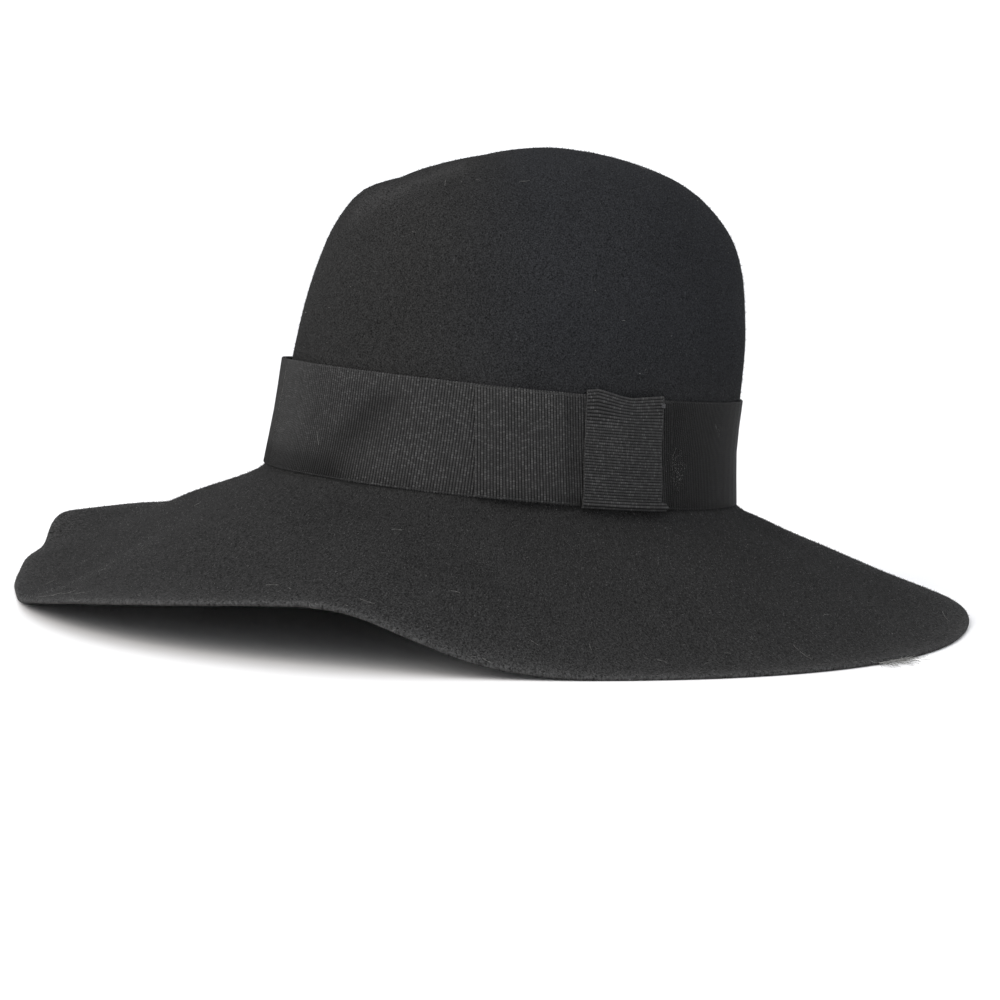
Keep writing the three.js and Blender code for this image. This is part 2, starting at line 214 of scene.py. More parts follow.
# The tuft of fibres that stick out of the brim's edge: between which azimuths, how many, how high
# above the floor, and how far they turn aside, in radians. Then in mm their length, how far they
# rise at the tip, how far they curl, and how high above the floor they stay.
TUFT_FROM, TUFT_TO = 110.0, 116.2
TUFT_COUNT = 110
TUFT_UP, TUFT_TURN = 1.4 * MM, 0.9
TUFT_LENGTH, TUFT_RISE, TUFT_CURL, TUFT_CLEAR = (3.0, 10.0), (-1.0, 1.6), 2.0, 0.3
TUFT_OUTSIDE = 0.2  # a place that is surely outside the brim, in metres from its middle

# Specks of lint all over the outer face: how many on a square metre, how far they lean over, and
# the size of one.
SPECKS, SPECK_LEAN = 900, 0.4
SPECK_LENGTH, SPECK_FOOT, SPECK_TIP = 0.22 * MM, 0.13 * MM, 0.08 * MM

# The tack at the keeper's upper back corner: how high above the band's foot, how many stitches, and
# how far apart. Then each stitch's reach in degrees on the keeper and past it, in which it differs
# from the next, how far it slants in mm, and how far outside the ribbon its five points lie in mm.
TACK_UP, TACK_COUNT, TACK_STEP = 41.2 * MM, 6, 0.3 * MM
TACK_ON_KEEPER, TACK_PAST_KEEPER, TACK_SLANT = (0.3, 0.9), (0.3, 0.7), 0.2
TACK_LIFTS = (-0.1, 0.22, 0.2, 0.5, -0.3)

# Pale threads on the band: azimuth and height above its foot where each starts, and ends.
BAND_THREADS = (((12.2, 17 * MM), (13.9, 12 * MM)),)

# Lint matted on the ribbon, and one line of pale specks that is a painted highlight: the ends of
# each patch like those of a thread, how far its fibres are spread about that line, and how many
# there are.
RIBBON_LINT = (
    ((106.9, 21.4 * MM), (108.3, 10.5 * MM), 2.5 * MM, 300),
    ((121.7, 34.4 * MM), (124.7, 30.3 * MM), 0.5 * MM, 16),
    # This line of pale specks along the band's left edge is a painted highlight.
    ((-10.8, 39 * MM), (-11.8, 22 * MM), 0.3 * MM, 130),
    ((15.9, 35.5 * MM), (16.0, 35.3 * MM), 0.1 * MM, 4),
    ((24.2, 37.8 * MM), (24.3, 37.6 * MM), 0.1 * MM, 3),
    ((36.5, 14.0 * MM), (36.6, 13.8 * MM), 0.1 * MM, 4),
    ((43.7, 19.2 * MM), (43.8, 19.0 * MM), 0.1 * MM, 3),
)
LENGTH_OF_DEGREE = 1.6 * MM  # round the ribbon
SPECK_HALF = (0.03, 0.10)  # least and greatest half length of a speck in a patch, in mm
SPECK_LIFT = 0.05 * MM
THREAD_POINTS = 7

# The camera, which stands at the bow's side a little in front of it.
CAMERA_AZIMUTH = 60.2
CAMERA_DISTANCE = 1200 * MM
CAMERA_HEIGHT = 173.2 * MM
CAMERA_LENS = 105.0
CAMERA_ROLL = 2.45
AIM_ASIDE = 2.4 * MM
AIM_HEIGHT = 42.75 * MM

# The stage, in metres. The key light stands to the left of the picture, between hat and camera and
# above the floor, and points at a height.
FLOOR_RADIUS, FLOOR_SIDES = 6.0, 96
KEY_LEFT, KEY_FRONT, KEY_UP = 1.35, 1.1, 1.2
KEY_WIDTH, KEY_AIM = 1.4, 0.08
KEY_COLOUR, ROOM_COLOUR = "#FFF8F0", "#F9FAFD"
ROOM_DIMS = (0.22, 0.85)  # where the room grows dimmer: 0 is the middle, 1 square to the right


# Small tools


def linear(hex_colour):
    """An sRGB hex colour as linear RGBA."""
    parts = [int(hex_colour[i:i + 2], 16) / 255 for i in (1, 3, 5)]
    return [p / 12.92 if p <= 0.04045 else ((p + 0.055) / 1.055) ** 2.4 for p in parts] + [1.0]


def add(tree, kind, inputs=None, **settings):
    """Adds a node: settings are its properties, and inputs its sockets by name or number. A node
    given as an input stands for its first output."""
    node = tree.nodes.new(kind)
    for key, value in settings.items():
        setattr(node, key, value)
    for key, value in (inputs or {}).items():
        if isinstance(value, bpy.types.Node):
            value = value.outputs[0]
        if isinstance(value, bpy.types.NodeSocket):
            tree.links.new(value, node.inputs[key])
        else:
            node.inputs[key].default_value = value
    return node


def smooth(x, low, high):
    """0 below low and 1 above high, with a soft step between them."""
    t = np.clip((x - low) / (high - low), 0, 1)
    return t * t * (3 - 2 * t)


def fading(x, low, high):
    """1 below low and 0 above high, with a soft step between them."""
    return 1 - smooth(x, low, high)


def bell(x, middle, width):
    """1 in the middle, fading over a width to both sides."""
    return np.exp(-(((x - middle) / width) ** 2))


def new_material(name):
    """An empty node material, its tree and its shader."""
    material = bpy.data.materials.new(name)
    material.use_nodes = True
    tree = material.node_tree
    tree.nodes.clear()
    shader = add(tree, "ShaderNodeBsdfPrincipled")
    add(tree, "ShaderNodeOutputMaterial", {"Surface": shader.outputs[0]})
    return material, tree, shader


def new_object(name, mesh, material=None):
    """Links a mesh into the scene as an object at the origin."""
    if material:
        mesh.materials.clear()
        mesh.materials.append(material)
    piece = bpy.data.objects.new(name, mesh)
    bpy.context.scene.collection.objects.link(piece)
    return piece


def set_smooth(mesh):
    mesh.polygons.foreach_set("use_smooth", [True] * len(mesh.polygons))
    mesh.update()


def set_attribute(mesh, name, values):
    """Stores one number, or one row of three, for each vertex."""
    values = np.asarray(values, np.float32)
    kind, field = ("FLOAT", "value") if values.ndim == 1 else ("FLOAT_VECTOR", "vector")
    attribute = mesh.attributes.new(name, kind, "POINT")
    attribute.data.foreach_set(field, values.ravel())


def dress(piece, slot, *nodes):
    """Lets a finished piece ride with the hat and hides what it stands for. Its slot is not used."""
    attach(piece, BODY)
    if nodes:
        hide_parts(*nodes)


def positions(mesh):
    out = np.zeros(len(mesh.vertices) * 3)
    mesh.vertices.foreach_get("co", out)
    return out.reshape(-1, 3)


def normals(mesh):
    out = np.zeros(len(mesh.vertices) * 3)
    mesh.vertex_normals.foreach_get("vector", out)
    return out.reshape(-1, 3)


def evaluated_mesh(piece, name):
    """The piece's mesh with its modifiers applied. The modifiers are then removed."""
    graph = bpy.context.evaluated_depsgraph_get()
    mesh = bpy.data.meshes.new_from_object(piece.evaluated_get(graph), depsgraph=graph)
    mesh.name = name
    piece.modifiers.clear()
    return mesh


def grow(source, tree, values, name):
    """Runs a Geometry Nodes tree on a source mesh and returns the result as a plain object."""
    carrier = new_object(name + "_source", source)
    modifier = carrier.modifiers.new(tree.name, "NODES")
    modifier.node_group = tree
    for item in tree.interface.items_tree:
        if item.item_type == "SOCKET" and item.in_out == "INPUT" and item.name in values:
            modifier[item.identifier] = values[item.name]
    mesh = evaluated_mesh(carrier, name)
    bpy.data.objects.remove(carrier)
    if not len(mesh.polygons):
        raise RuntimeError(name + " came out empty")
    set_smooth(mesh)
    return new_object(name, mesh)


def new_tree(name, sockets):
    """A Geometry Nodes tree with named inputs, and its input and output nodes."""
    tree = bpy.data.node_groups.new(name, "GeometryNodeTree")
    tree.interface.new_socket("Geometry", in_out="INPUT", socket_type="NodeSocketGeometry")
    for socket, kind in sockets:
        tree.interface.new_socket(socket, in_out="INPUT", socket_type="NodeSocket" + kind)
    tree.interface.new_socket("Geometry", in_out="OUTPUT", socket_type="NodeSocketGeometry")
    start = add(tree, "NodeGroupInput")
    return tree, start


def close_tree(tree, geometry, material_socket):
    """Ends a tree in Realize Instances and Set Material."""
    real = add(tree, "GeometryNodeRealizeInstances", {"Geometry": geometry})
    painted = add(tree, "GeometryNodeSetMaterial",
                  {"Geometry": real.outputs[0], "Material": material_socket})
    add(tree, "NodeGroupOutput", {"Geometry": painted.outputs[0]})


# Materials


def blend(tree, *terms):
    """A sum: each term is a number, or a tuple of sockets and numbers that are multiplied."""
    total = sum(term for term in terms if isinstance(term, (int, float)))
    for term in terms:
        if isinstance(term, tuple):
            product = term[0]
            for factor in term[1:-1]:
                product = add(tree, "ShaderNodeMath", {0: product, 1: factor},
                              operation="MULTIPLY")
            total = add(tree, "ShaderNodeMath", {0: product, 1: term[-1], 2: total},
                        operation="MULTIPLY_ADD")
    return total


def finish(tree, shader, hex_colour, level, constants, relief=None):
    """Colours a shader with one colour, made lighter and darker by level, and sets its constants.
    A relief is its strength, its depth and the socket of its height."""
    colour = add(tree, "ShaderNodeVectorMath", {0: linear(hex_colour)[:3], 1: level},
                 operation="MULTIPLY")
    tree.links.new(colour.outputs[0], shader.inputs["Base Color"])
    for name, value in constants.items():
        shader.inputs[name].default_value = value
    if relief:
        strength, depth, height = relief
        bump = add(tree, "ShaderNodeBump", {
            "Strength": strength, "Distance": depth, "Height": height})
        tree.links.new(bump.outputs[0], shader.inputs["Normal"])


def wool_felt(settings):
    """Blocked wool felt: fibres fulled into a dense mat that scatters light with almost no gloss.
    The eye gets a fine pepper-and-salt grain, soft clouds of uneven dye and nearly no highlight."""
    material, tree, shader = new_material("blocked_wool_felt")
    place = add(tree, "ShaderNodeTexCoord").outputs["Object"]
    rubbed_and_lit, painted_cool_light = (add(tree, "ShaderNodeAttribute", attribute_name=name).outputs["Fac"]
                    for name in ("rubbed_and_lit", "painted_cool_light"))
    brushed = add(tree, "ShaderNodeAttribute", attribute_name="brushed").outputs["Vector"]
    # Fulled fibres cross in flecks about 0.55 mm wide, some catching light and some in shade. On
    # the brim, which was brushed outward, they are longer. Tangled tufts are 1.9 mm wide, and the
    # dye is uneven over 34 mm.
    fleck, tuft, cloud = (
        add(tree, "ShaderNodeTexNoise", {
            "Vector": vector, "Scale": 1 / size, "Detail": detail, "Roughness": roughness})
        for vector, size, detail, roughness in (
            (brushed, 0.55 * MM, 3, 0.7), (brushed, 1.9 * MM, 2, 0.5), (place, 34 * MM, 2, 0.5)))
    grain = add(tree, "ShaderNodeMapRange", {
        "Value": fleck, "From Min": 0.3, "From Max": 0.7, "To Min": 0.05, "To Max": 1.95})
    # Single pale fibres that end in the surface, one in five cells of 2.4 mm.
    cell = add(tree, "ShaderNodeTexVoronoi", {"Vector": place, "Scale": 1 / (2.4 * MM)})
    near = add(tree, "ShaderNodeMapRange", {
        "Value": cell.outputs["Distance"], "From Min": 0.07, "From Max": 0.13,
        "To Min": 1.0, "To Max": 0.0})
    few = add(tree, "ShaderNodeMath", {0: cell.outputs["Color"], 1: 0.62},
              operation="GREATER_THAN")
    # The rubbed cut edge of the brim and the rubbed ridges are paler, partly from painted light
    # along the brim's rim and the crown's near ridge.
    level = blend(tree, 0.71, (tuft, 0.30), (cloud, 0.28), (rubbed_and_lit, 0.90))
    speckled = blend(tree, (grain, level), (near, few, 1.1))
    # A faint cool cast of painted light lies high on the crown's left side.
    cast = add(tree, "ShaderNodeVectorMath", {0: painted_cool_light, 1: (-0.05, -0.01, 0.08),
                                              2: (1.0, 1.0, 1.0)}, operation="MULTIPLY_ADD")
    shade = add(tree, "ShaderNodeVectorMath", {0: speckled, 1: cast}, operation="MULTIPLY")
    finish(tree, shader, settings.colour, shade,
           {"Roughness": 0.97, "IOR": 1.45, "Specular IOR Level": 0.02},
           (0.7, 0.3 * MM, blend(tree, (tuft, 0.7), (fleck, 1.0))))
    return material


def fibre(name, hex_colour, spread):
    """Loose fibre that stands out of the felt or lies on it: matt, and each one lighter or darker
    than the next."""
    material, tree, shader = new_material(name)
    place = add(tree, "ShaderNodeTexCoord").outputs["Object"]
    # The tone changes over 1 mm, which is about the distance from fibre to fibre.
    tone = add(tree, "ShaderNodeTexNoise", {
        "Vector": place, "Scale": 1 / (1 * MM), "Detail": 1, "Roughness": 0.5})
    level = add(tree, "ShaderNodeMapRange", {
        "Value": tone, "From Min": 0.3, "From Max": 0.7,
        "To Min": 1 - spread, "To Max": 1 + spread})
    finish(tree, shader, hex_colour, level, {"Roughness": 0.95, "Specular IOR Level": 0.05})
    return material


def grosgrain(settings):
    """Grosgrain: thick weft cords packed side by side under fine warp threads. The eye gets a rib
    every millimetre, broken into short light and dark beads where the warp crosses it, with dark
    grooves between the ribs. The beads' shading, a few glints and the shade in the grooves are
    painted into the colour."""
    material, tree, shader = new_material("woven_grosgrain")
    place = add(tree, "ShaderNodeTexCoord").outputs["Object"]
    tone, along, cord, crushed = (
        add(tree, "ShaderNodeAttribute", attribute_name=name).outputs["Fac"]
        for name in ("tone", "along", "cord", "crushed"))
    # Groups of warp threads cross a rib every 0.9 mm, drawn coarser than single threads. Each rib
    # starts at a place of its own.
    step = blend(tree, (along, 1 / (0.9 * MM)), (tone, 31.0))
    bead = add(tree, "ShaderNodeMath", {0: step}, operation="FLOOR")
    rib = add(tree, "ShaderNodeMath", {0: blend(tree, (tone, float(TONES)))}, operation="FLOOR")
    part = add(tree, "ShaderNodeMath", {0: step}, operation="FRACT")
    # Each bead is rounded: painted shade darkens its two ends and a painted highlight lightens its
    # middle.
    swell = blend(tree, (part, 4.0), (part, part, -4.0))
    lot = add(tree, "ShaderNodeTexWhiteNoise", {
        "Vector": add(tree, "ShaderNodeCombineXYZ", {0: bead, 1: rib})})
    # A few beads get painted glints, as if they catch the light, but none where shade is painted.
    glint = add(tree, "ShaderNodeMath", {0: lot, 1: 3.0}, operation="POWER")
    outside_painted_shade = blend(tree, 1.0, (crushed, -0.80))
    # Slubs in the yarn over 0.9 mm, and wear over 14 mm.
    slub, haze = (
        add(tree, "ShaderNodeTexNoise", {
            "Vector": place, "Scale": 1 / size, "Detail": 2, "Roughness": roughness})
        for size, roughness in ((0.9 * MM, 0.6), (14 * MM, 0.5)))
    weave = blend(tree, 0.28, (swell, 0.26), (glint, swell, outside_painted_shade, 1.0), (slub, 0.56),
                  (haze, 0.22))
    # The sheet between the ribs is painted darker: painted shade in the grooves.
    groove = blend(tree, 0.42, (cord, 0.58))
    # Where shade is painted, the whole ribbon is darker.
    shade_dimming = blend(tree, 1.0, (crushed, -0.52))
    finish(tree, shader, settings.colour, blend(tree, (weave, groove, shade_dimming)),
           {"Roughness": 0.55, "IOR": 1.5, "Specular IOR Level": 0.08},
           (0.6, 0.10 * MM, blend(tree, (swell, 1.0), (slub, 0.6))))
    return material


def sewing_thread(hex_colour):
    """Spun polyester thread: twisted, and the shading of its turns is painted as short light and
    dark bands.
    """
    material, tree, shader = new_material("polyester_thread")
    along = add(tree, "ShaderNodeAttribute", attribute_name="along").outputs["Fac"]
    # One turn of the twist is about 0.5 mm long.
    turn = blend(tree, (along, 2 * math.pi / (0.5 * MM)))
    twist = add(tree, "ShaderNodeMath", {0: turn}, operation="SINE")
    finish(tree, shader, hex_colour, blend(tree, 0.85, (twist, 0.25)), {"Roughness": 0.5})
    return material


def studio_board(hex_colour):
    """Matt painted board for the floor, so the hat's soft shadow shows and nothing mirrors."""
    material, tree, shader = new_material("matt_board")
    place = add(tree, "ShaderNodeTexCoord").outputs["Object"]
    # Roller stipple about 4 mm wide, only just there.
    stipple = add(tree, "ShaderNodeTexNoise", {
        "Vector": place, "Scale": 1 / (4 * MM), "Detail": 2, "Roughness": 0.5})
    finish(tree, shader, hex_colour, blend(tree, 0.985, (stipple, 0.015)),
           {"Roughness": 0.95, "Specular IOR Level": 0.1})
    return material


# The ribbon's path on the crown


def oval(azimuth, up):
    """A point of the crown's wall and the outward level direction, in the crown's frame."""
    front = np.interp(up, OVAL_HEIGHTS, OVAL_FRONT)
    back = np.interp(up, OVAL_HEIGHTS, OVAL_BACK)
    side = np.interp(up, OVAL_HEIGHTS, OVAL_SIDE)
    angle = math.radians(azimuth)
    half = (front + back) / 2
    point = Vector((side * math.sin(angle), (back - front) / 2 - half * math.cos(angle), up))
    outward = Vector((half * math.sin(angle), -side * math.cos(angle), 0)).normalized()
    point.z -= SIDE_DIP * math.sin(angle) ** 2
    return point, outward


def even_azimuths(start, end, count):
    """Azimuths at even steps of length round the crown, both ends included, and that length."""
    fine = np.linspace(start, end, FINE_STEPS)
    line = np.array([oval(a, RIBBON_WIDTH / 2)[0] for a in fine])
    run = np.concatenate([[0], np.cumsum(np.linalg.norm(np.diff(line, axis=0), axis=1))])
    return np.interp(np.linspace(0, run[-1], count), run, fine), run[-1]


class Guide:
    """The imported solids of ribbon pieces, on which finer ribbon is laid."""

    def __init__(self, *nodes):
        mesh = bmesh.new()
        for node in nodes:
            mesh.from_mesh(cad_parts[node].data)
        bmesh.ops.remove_doubles(mesh, verts=mesh.verts, dist=WELD)
        self.tree = BVHTree.FromBMesh(mesh)
        mesh.free()
        self.name = " and ".join(nodes)

    def probe(self, azimuth, up):
        """The solid's outer face at a place, and the outward direction."""
        point, outward = oval(azimuth, up)
        start = CROWN @ (point + outward * SEARCH)
        aim = (CROWN.to_3x3() @ outward).normalized()
        hit = self.tree.ray_cast(start, -aim, 2 * SEARCH)[0]
        if hit is None:
            raise RuntimeError(f"{self.name}: no ribbon at {azimuth:.1f} degrees, {up:.4f} m")
        return hit, aim


def sheet_mesh(name, outer, inner, wraps):
    """A closed ribbon sheet between two grids of points."""
    columns, rows = outer.shape[:2]
    points = np.concatenate([outer.reshape(-1, 3), inner.reshape(-1, 3)])
    back = columns * rows

    def index(layer, i, j):
        return layer * back + (i % columns) * rows + j

    def quad(*corners):
        faces.append([index(*corner) for corner in corners])

    faces = []
    top, end = rows - 1, columns - 1
    for i in range(columns if wraps else end):
        for j in range(top):
            quad((0, i, j), (0, i + 1, j), (0, i + 1, j + 1), (0, i, j + 1))
            quad((1, i, j), (1, i, j + 1), (1, i + 1, j + 1), (1, i + 1, j))
        quad((0, i, 0), (1, i, 0), (1, i + 1, 0), (0, i + 1, 0))
        quad((0, i, top), (0, i + 1, top), (1, i + 1, top), (1, i, top))
    if not wraps:
        for j in range(top):
            quad((0, 0, j), (0, 0, j + 1), (1, 0, j + 1), (1, 0, j))
            quad((0, end, j), (1, end, j), (1, end, j + 1), (0, end, j + 1))
    mesh = bpy.data.meshes.new(name)
    mesh.from_pydata(points.tolist(), [], faces)
    set_smooth(mesh)
    return mesh


def lines_mesh(name, paths, closed=False, **marks):
    """Polylines as loose edges, with the length along each stored on them, and other marks that
    have one number for each line or one for each of its points."""
    points, edges, along = [], [], []
    for path in paths:
        first = len(points)
        run = np.concatenate([[0], np.cumsum(np.linalg.norm(np.diff(path, axis=0), axis=1))])
        points.extend(np.asarray(path).tolist())
        edges.extend([first + k, first + k + 1] for k in range(len(path) - 1))
        if closed:
            edges.append([first + len(path) - 1, first])
        along.extend(run.tolist())
    mesh = bpy.data.meshes.new(name)
    mesh.from_pydata(points, edges, [])
    set_attribute(mesh, "along", along)
    for key, values in marks.items():
        set_attribute(mesh, key, np.concatenate(
            [np.broadcast_to(value, len(path)) for path, value in zip(paths, values)]))
    return mesh


def rib_tree():
    """Turns each line of points into a round cord."""
    name = "ribs_along_lines"
    if name in bpy.data.node_groups:
        return bpy.data.node_groups[name]
    tree, start = new_tree(name, [
        ("Cord radius", "Float"), ("Cord sides", "Int"), ("Material", "Material")])
    line = add(tree, "GeometryNodeMeshToCurve", {"Mesh": start.outputs["Geometry"]})
    ring = add(tree, "GeometryNodeCurvePrimitiveCircle", {
        "Resolution": start.outputs["Cord sides"], "Radius": start.outputs["Cord radius"]})
    cord = add(tree, "GeometryNodeCurveToMesh", {
        "Curve": line, "Profile Curve": ring, "Fill Caps": True})
    close_tree(tree, cord.outputs[0], start.outputs["Material"])
    return tree


def cords(name, lines, radius, sides, material):
    """Round cords along a mesh of lines."""
    return grow(lines, rib_tree(), {
        "Cord radius": radius, "Cord sides": sides, "Material": material}, name)


def join_into(piece, others):
    """Joins other objects' meshes into a piece."""
    with bpy.context.temp_override(active_object=piece, selected_editable_objects=[piece, *others]):
        bpy.ops.object.join()
    return piece


def ribbon_material(settings):
    return bpy.data.materials.get("woven_grosgrain") or grosgrain(settings)


def valley(azimuth, v):
    """1 along the band's crushed fold."""
    off = (azimuth - FOLD_FOOT - FOLD_SWEEP * v + 180) % 360 - 180
    width = FOLD_TOP_WIDTH + (FOLD_FOOT_WIDTH - FOLD_TOP_WIDTH) * (1 - v) ** 2
    return bell(off, 0, width) * fading(v, *FOLD_ENDS)


def band_painted_shade(azimuth, v):
    """How much shade is painted on the band: in the fold, below it and less so left of it, and
    behind the bow, where it is painted as dark as the felt."""
    # The painted shade lies on both sides of 0, so azimuths are taken from -100 up.
    from_left = (azimuth + 100) % 360 - 100
    left = smooth(from_left, *SHADE_COMES)
    corner = fading(v, *CORNER_TOP) * fading(from_left, *CORNER_ENDS) * left
    left_third = (LEFT_SHADE + LEFT_MORE * fading(from_left, *LEFT_MORE_ENDS)) * (
        fading(from_left, *LEFT_ENDS)) * left
    behind = smooth(azimuth, *BEHIND_COMES) * fading(azimuth, *BEHIND_ENDS)
    return max(FOLD_SHADE * valley(azimuth, v), CORNER_SHADE * corner, left_third,
               BEHIND_SHADE * behind)


def ply_painted_shade(azimuth, v):
    """How much shade is painted on the loop: its single ply lies in the keeper's shade."""
    single = float(azimuth > LOOP_FOLD - PLY_MARGIN)
    return PLY_SHADE * single + PLY_MORE * smooth(azimuth, *PLY_MORE_COMES)


class Ribbon:
    """One ribbon piece: a sheet, the ribs on it and a woven cord along each of two edges."""

    def __init__(self, node, lean, foot, height, settings, seed, over=None):
        """over, if given, says how much higher a place lies than its share of the height."""
        self.node, self.guide = node, Guide(node)
        self.lean, self.foot, self.height = lean, foot, height
        self.over = over or (lambda azimuth, v: 0)
        self.settings = settings
        self.dice = random.Random(seed)

    def grid(self, columns, ups, offset, slide=None):
        """Rows of points for a face of the ribbon. ups run from 0 to 1 over its height. offset says
        how far outside the solid's outer face a point lies, and slide how far it is moved round
        the hat."""
        out = np.zeros((len(columns), len(ups), 3))
        for i, azimuth in enumerate(columns):
            for j, v in enumerate(ups):
                up = self.foot + (self.height * v + self.over(azimuth, v))
                hit, aim = self.guide.probe(azimuth + self.lean * v, up)
                out[i, j] = hit + aim * offset(azimuth, v)
                if slide:
                    out[i, j] += Vector((-aim.y, aim.x, 0)) * slide(azimuth, v)
        return out

    def tones(self, count):
        """A tone for each line, each in the middle of one of as many steps as there are tones."""
        return [(self.dice.randrange(TONES) + 0.5) / TONES for _ in range(count)]

    def build(self, name, sheet, crushed, ribs, rib_painted_shade, edges, closed):
        settings, material = self.settings, ribbon_material(self.settings)
        for key, values in (("tone", 0.0), ("along", 0.0), ("cord", 0.0), ("crushed", crushed)):
            set_attribute(sheet, key, np.broadcast_to(values, len(sheet.vertices)))
        piece = new_object(name, sheet, material)
        rib_lines = lines_mesh(name + "_rib_lines", ribs, tone=self.tones(len(ribs)),
                               cord=[1.0] * len(ribs), crushed=rib_painted_shade)
        edge_lines = lines_mesh(name + "_edge_lines", edges, closed, tone=self.tones(len(edges)),
                                cord=[settings.edge_tone] * len(edges),
                                crushed=[0.0] * len(edges))
        join_into(piece, [
            cords(name + "_ribs", rib_lines, settings.rib_radius, CORD_SIDES, material),
            cords(name + "_edges", edge_lines, settings.edge_radius, CORD_SIDES, material)])
        return piece

    def cross_ribbed(self, name, start, end, swell, crush, closed=False):
        """Ribbon whose ribs run from edge to edge. swell says how far each place stands out of the
        solid's outer face, and the argument after it how much shade is painted there."""
        settings = self.settings
        length = even_azimuths(start, end, 2)[1]
        columns = even_azimuths(start, end, round(length / settings.pitch) + 1)[0]
        if closed:
            columns = columns[:-1]

        def at(depth):
            return lambda azimuth, v: swell(azimuth, v) - depth

        def rib_depth(azimuth, v):
            end_sink = EDGE_SINK if v in (0.0, 1.0) else 0
            return swell(azimuth, v) - settings.rib_radius - end_sink

        def marks(places):
            return np.array([[crush(azimuth, v) for v in places] for azimuth in columns])

        rows = np.linspace(0, 1, SHEET_ROWS)
        sheet = sheet_mesh(self.node + "_sheet", self.grid(columns, rows, at(settings.rib_rise)),
                           self.grid(columns, rows, at(BACK_DEPTH)), closed)
        margin = settings.edge_radius / self.height
        rib_rows = np.array([0.0, *np.linspace(margin, 1 - margin, RIB_POINTS), 1.0])
        edges = self.grid(columns, (margin, 1 - margin), at(settings.edge_radius + EDGE_SINK))
        return self.build(name, sheet, np.tile(marks(rows).ravel(), 2),
                          list(self.grid(columns, rib_rows, rib_depth)), marks(rib_rows),
                          [edges[:, 0], edges[:, 1]], closed)


# Felt body


def felt_mesh():
    """The felt body's solid as smooth quads, subdivided."""
    mesh = bmesh.new()
    mesh.from_mesh(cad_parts["felt_body"].data)
    bmesh.ops.remove_doubles(mesh, verts=mesh.verts, dist=WELD)
    bmesh.ops.join_triangles(mesh, faces=mesh.faces, angle_face_threshold=QUAD_FOLD,
                             angle_shape_threshold=QUAD_SKEW)
    crease = mesh.edges.layers.float.new("crease_edge")
    for edge in mesh.edges:
        if edge.is_manifold and edge.calc_face_angle() > KEPT_EDGE:
            edge[crease] = KEPT_SHARPNESS
    data = bpy.data.meshes.new("felt_body_quads")
    mesh.to_mesh(data)
    mesh.free()
    set_smooth(data)
    carrier = new_object("felt_body_carrier", data)
    finer = carrier.modifiers.new("finer", "SUBSURF")
    finer.levels = finer.render_levels = SUBDIVISIONS
    out = evaluated_mesh(carrier, "felt_body_cloth")
    bpy.data.objects.remove(carrier)
    return out


def outer_side(places, facing):
    """1 on the hat's outer face and the brim's top, 0 inside and under it."""
    radial = places.copy()
    radial[:, 2] = 0
    radial /= np.maximum(np.linalg.norm(radial, axis=1, keepdims=True), 1e-6)
    return ((facing * (OUTWARD_SHARE * radial + np.array([0, 0, 1]))).sum(1) > 0).astype(float)


def brim_inset(places):
    """How far each point lies inside the brim's edge."""
    azimuth = np.degrees(np.arctan2(places[:, 0], -places[:, 1])) % 360
    radius = np.hypot(places[:, 0], places[:, 1])
    sector = azimuth / (360 / SECTORS)
    reach = np.zeros(SECTORS)
    np.maximum.at(reach, sector.astype(int) % SECTORS, radius)
    # The ring is closed by two sectors more at its start and three at its end, and what is found
    # in a sector stands for its middle.
    ring = np.concatenate([reach[-2:], reach, reach[:3]])
    return np.interp(sector, np.arange(len(ring)) - 1.5, ring) - radius


def near_line(places, start, end, width):
    """1 on a line from start to end, both of two or three numbers, and fading over its width."""
    a, b = np.array(start), np.array(end)
    flat = places[:, :len(a)]
    along = np.clip(((flat - a) @ (b - a)) / ((b - a) @ (b - a)), 0, 1)
    aside = np.linalg.norm(flat - a - along[:, None] * (b - a), axis=1)
    return bell(aside, 0, width)


